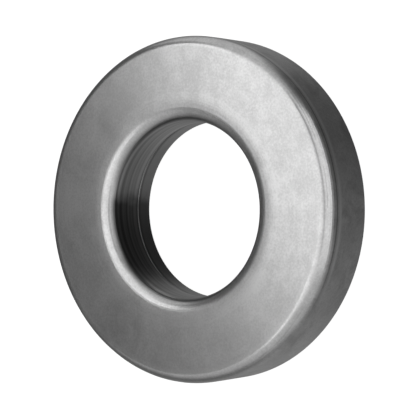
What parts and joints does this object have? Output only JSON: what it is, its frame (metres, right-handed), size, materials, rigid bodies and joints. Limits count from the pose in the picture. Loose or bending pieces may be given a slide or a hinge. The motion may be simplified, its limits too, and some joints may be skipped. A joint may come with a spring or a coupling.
{
  "type": "thrust ball bearing",
  "caption": "Thrust ball bearing: grooved washers and a caged ring of balls held inside a crimped pressed-steel shell, for axial load on a shaft.",
  "frame": {"origin": "centre of the back face, on the axis of rotation, where the bearing rests when it lies on its back", "axes": "+Z along the axis of rotation, out through the shell's flat front face; X and Y are radial, with the first ball on +X"},
  "size_m": [0.061, 0.061, 0.012],
  "materials": {
    "pressed_steel": "satin pressed steel, lightly oiled",
    "race_steel": "ground hardened steel",
    "cage_steel": "plain pressed steel strip",
    "ball_steel": "polished hardened steel"
  },
  "bodies": {
    "housing_side": {"lower_race": "race_steel"},
    "shell_side": {"shell": "pressed_steel", "upper_race": "race_steel"},
    "cage_ring": {"cage": "cage_steel"},
    "rolling_ball_01": {"ball_01": "ball_steel"},
    "rolling_ball_02": {"ball_02": "ball_steel"},
    "rolling_ball_03": {"ball_03": "ball_steel"},
    "rolling_ball_04": {"ball_04": "ball_steel"},
    "rolling_ball_05": {"ball_05": "ball_steel"},
    "rolling_ball_06": {"ball_06": "ball_steel"},
    "rolling_ball_07": {"ball_07": "ball_steel"},
    "rolling_ball_08": {"ball_08": "ball_steel"},
    "rolling_ball_09": {"ball_09": "ball_steel"},
    "rolling_ball_10": {"ball_10": "ball_steel"},
    "rolling_ball_11": {"ball_11": "ball_steel"},
    "rolling_ball_12": {"ball_12": "ball_steel"},
    "rolling_ball_13": {"ball_13": "ball_steel"},
    "rolling_ball_14": {"ball_14": "ball_steel"},
    "rolling_ball_15": {"ball_15": "ball_steel"},
    "rolling_ball_16": {"ball_16": "ball_steel"},
    "rolling_ball_17": {"ball_17": "ball_steel"},
    "rolling_ball_18": {"ball_18": "ball_steel"}
  },
  "joints": [
    {"name": "shell_spin", "type": "hinge", "parent": "housing_side", "child": "shell_side", "pos_m": [0, 0, 0.00525], "axis": [0, 0, 1], "continuous": true},
    {"name": "cage_spin", "type": "hinge", "parent": "housing_side", "child": "cage_ring", "pos_m": [0, 0, 0.00525], "axis": [0, 0, 1], "continuous": true},
    {"name": "ball_01_roll", "type": "hinge", "parent": "cage_ring", "child": "rolling_ball_01", "pos_m": [0.0232, 0, 0.00525], "axis": [1, 0, 0], "continuous": true},
    {"name": "ball_02_roll", "type": "hinge", "parent": "cage_ring", "child": "rolling_ball_02", "pos_m": [0.0218, 0.00793, 0.00525], "axis": [0.9397, 0.342, 0], "continuous": true},
    {"name": "ball_03_roll", "type": "hinge", "parent": "cage_ring", "child": "rolling_ball_03", "pos_m": [0.01777, 0.01491, 0.00525], "axis": [0.766, 0.6428, 0], "continuous": true},
    {"name": "ball_04_roll", "type": "hinge", "parent": "cage_ring", "child": "rolling_ball_04", "pos_m": [0.0116, 0.02009, 0.00525], "axis": [0.5, 0.866, 0], "continuous": true},
    {"name": "ball_05_roll", "type": "hinge", "parent": "cage_ring", "child": "rolling_ball_05", "pos_m": [0.00403, 0.02285, 0.00525], "axis": [0.1736, 0.9848, 0], "continuous": true},
    {"name": "ball_06_roll", "type": "hinge", "parent": "cage_ring", "child": "rolling_ball_06", "pos_m": [-0.00403, 0.02285, 0.00525], "axis": [-0.1736, 0.9848, 0], "continuous": true},
    {"name": "ball_07_roll", "type": "hinge", "parent": "cage_ring", "child": "rolling_ball_07", "pos_m": [-0.0116, 0.02009, 0.00525], "axis": [-0.5, 0.866, 0], "continuous": true},
    {"name": "ball_08_roll", "type": "hinge", "parent": "cage_ring", "child": "rolling_ball_08", "pos_m": [-0.01777, 0.01491, 0.00525], "axis": [-0.766, 0.6428, 0], "continuous": true},
    {"name": "ball_09_roll", "type": "hinge", "parent": "cage_ring", "child": "rolling_ball_09", "pos_m": [-0.0218, 0.00793, 0.00525], "axis": [-0.9397, 0.342, 0], "continuous": true},
    {"name": "ball_10_roll", "type": "hinge", "parent": "cage_ring", "child": "rolling_ball_10", "pos_m": [-0.0232, 0, 0.00525], "axis": [-1, 0, 0], "continuous": true},
    {"name": "ball_11_roll", "type": "hinge", "parent": "cage_ring", "child": "rolling_ball_11", "pos_m": [-0.0218, -0.00793, 0.00525], "axis": [-0.9397, -0.342, 0], "continuous": true},
    {"name": "ball_12_roll", "type": "hinge", "parent": "cage_ring", "child": "rolling_ball_12", "pos_m": [-0.01777, -0.01491, 0.00525], "axis": [-0.766, -0.6428, 0], "continuous": true},
    {"name": "ball_13_roll", "type": "hinge", "parent": "cage_ring", "child": "rolling_ball_13", "pos_m": [-0.0116, -0.02009, 0.00525], "axis": [-0.5, -0.866, 0], "continuous": true},
    {"name": "ball_14_roll", "type": "hinge", "parent": "cage_ring", "child": "rolling_ball_14", "pos_m": [-0.00403, -0.02285, 0.00525], "axis": [-0.1736, -0.9848, 0], "continuous": true},
    {"name": "ball_15_roll", "type": "hinge", "parent": "cage_ring", "child": "rolling_ball_15", "pos_m": [0.00403, -0.02285, 0.00525], "axis": [0.1736, -0.9848, 0], "continuous": true},
    {"name": "ball_16_roll", "type": "hinge", "parent": "cage_ring", "child": "rolling_ball_16", "pos_m": [0.0116, -0.02009, 0.00525], "axis": [0.5, -0.866, 0], "continuous": true},
    {"name": "ball_17_roll", "type": "hinge", "parent": "cage_ring", "child": "rolling_ball_17", "pos_m": [0.01777, -0.01491, 0.00525], "axis": [0.766, -0.6428, 0], "continuous": true},
    {"name": "ball_18_roll", "type": "hinge", "parent": "cage_ring", "child": "rolling_ball_18", "pos_m": [0.0218, -0.00793, 0.00525], "axis": [0.9397, -0.342, 0], "continuous": true}
  ],
  "couplings": [
    {"joint": "cage_spin", "follows": "shell_spin", "ratio": 0.5},
    {"joint": "ball_01_roll", "follows": "shell_spin", "ratio": -3.6535},
    {"joint": "ball_02_roll", "follows": "shell_spin", "ratio": -3.6535},
    {"joint": "ball_03_roll", "follows": "shell_spin", "ratio": -3.6535},
    {"joint": "ball_04_roll", "follows": "shell_spin", "ratio": -3.6535},
    {"joint": "ball_05_roll", "follows": "shell_spin", "ratio": -3.6535},
    {"joint": "ball_06_roll", "follows": "shell_spin", "ratio": -3.6535},
    {"joint": "ball_07_roll", "follows": "shell_spin", "ratio": -3.6535},
    {"joint": "ball_08_roll", "follows": "shell_spin", "ratio": -3.6535},
    {"joint": "ball_09_roll", "follows": "shell_spin", "ratio": -3.6535},
    {"joint": "ball_10_roll", "follows": "shell_spin", "ratio": -3.6535},
    {"joint": "ball_11_roll", "follows": "shell_spin", "ratio": -3.6535},
    {"joint": "ball_12_roll", "follows": "shell_spin", "ratio": -3.6535},
    {"joint": "ball_13_roll", "follows": "shell_spin", "ratio": -3.6535},
    {"joint": "ball_14_roll", "follows": "shell_spin", "ratio": -3.6535},
    {"joint": "ball_15_roll", "follows": "shell_spin", "ratio": -3.6535},
    {"joint": "ball_16_roll", "follows": "shell_spin", "ratio": -3.6535},
    {"joint": "ball_17_roll", "follows": "shell_spin", "ratio": -3.6535},
    {"joint": "ball_18_roll", "follows": "shell_spin", "ratio": -3.6535}
  ]
}
